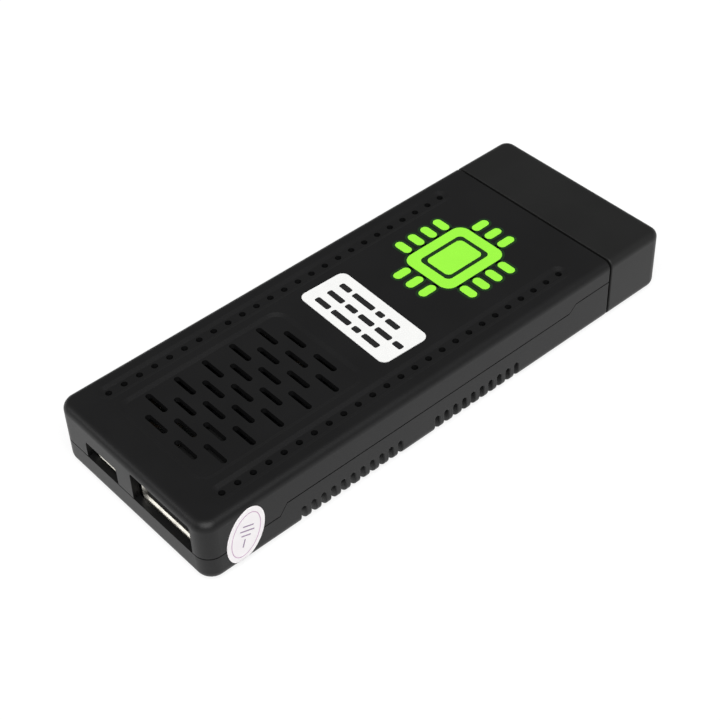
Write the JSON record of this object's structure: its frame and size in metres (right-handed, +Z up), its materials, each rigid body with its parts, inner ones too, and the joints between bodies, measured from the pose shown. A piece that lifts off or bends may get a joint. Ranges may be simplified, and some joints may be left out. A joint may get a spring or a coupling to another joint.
{
  "type": "hdmi stick computer",
  "caption": "Slim plug-in stick computer: a rounded black plastic case with a slotted grille and rows of round vents, USB sockets at one end and a capped HDMI plug at the other.",
  "frame": {"origin": "middle of the case's footprint, on the face that it rests on", "axes": "+X along the stick towards the capped plug, +Y towards the memory card slot's side, +Z up through the grille's face"},
  "size_m": [0.0938, 0.0353, 0.0117],
  "materials": {
    "case_plastic": "fine matt moulded black plastic",
    "label_paper": "satin printed paper label",
    "seal_paper": "smooth printed seal",
    "board": "near-black solder mask on glass fibre",
    "tape_film": "smooth black insulating tape",
    "screw_steel": "plain turned steel",
    "socket_metal": "plated sheet metal",
    "socket_plastic": "black glass-filled plastic",
    "contact_gold": "gold plating",
    "chip_epoxy": "dark moulded epoxy",
    "pad_rubber": "soft grey-blue pad",
    "spreader_aluminium": "black anodised aluminium",
    "module_board": "blue solder mask",
    "ceramic": "pale glazed ceramic",
    "ferrite": "dark ferrite",
    "capacitor_ceramic": "brown ceramic with tinned ends",
    "crystal_can": "pressed metal can",
    "led_resin": "clear resin",
    "switch_plastic": "black switch housing",
    "plunger_plastic": "pale switch plunger"
  },
  "bodies": {
    "stick": {"top_shell": "case_plastic", "bottom_shell": "case_plastic", "label_sticker": "label_paper", "seal_sticker": "seal_paper", "main_pcb": "board", "pcb_screws": "screw_steel", "hdmi_plug_shell": "socket_metal", "hdmi_plug_insert": "socket_plastic", "hdmi_plug_contacts": "contact_gold", "usb_a_shell": "socket_metal", "usb_a_tape": "tape_film", "usb_a_tongue": "socket_plastic", "usb_a_contacts": "contact_gold", "micro_usb_shell": "socket_metal", "micro_usb_tongue": "socket_plastic", "micro_usb_contacts": "contact_gold", "card_socket_shell": "socket_metal", "card_socket_base": "socket_plastic", "card_socket_contacts": "contact_gold", "processor": "chip_epoxy", "thermal_pad": "pad_rubber", "heat_spreader": "spreader_aluminium", "memory_chips": "chip_epoxy", "flash_chip": "chip_epoxy", "wifi_module": "module_board", "wifi_shield_can": "socket_metal", "antenna": "ceramic", "power_chip": "chip_epoxy", "inductors": "ferrite", "capacitors": "capacitor_ceramic", "crystal": "crystal_can", "status_led": "led_resin", "recovery_switch_body": "switch_plastic"},
    "cap": {"plug_cap": "case_plastic"},
    "recovery_plunger": {"recovery_switch_plunger": "plunger_plastic"}
  },
  "joints": [
    {"name": "cap_slide", "type": "slide", "parent": "stick", "child": "cap", "axis": [1, 0, 0], "range_m": [0, 0.02]},
    {"name": "recovery_press", "type": "slide", "parent": "stick", "child": "recovery_plunger", "axis": [0, 1, 0], "range_m": [0, 0.00025], "stiffness_N_per_m": 400, "springref_m": -0.0005}
  ]
}
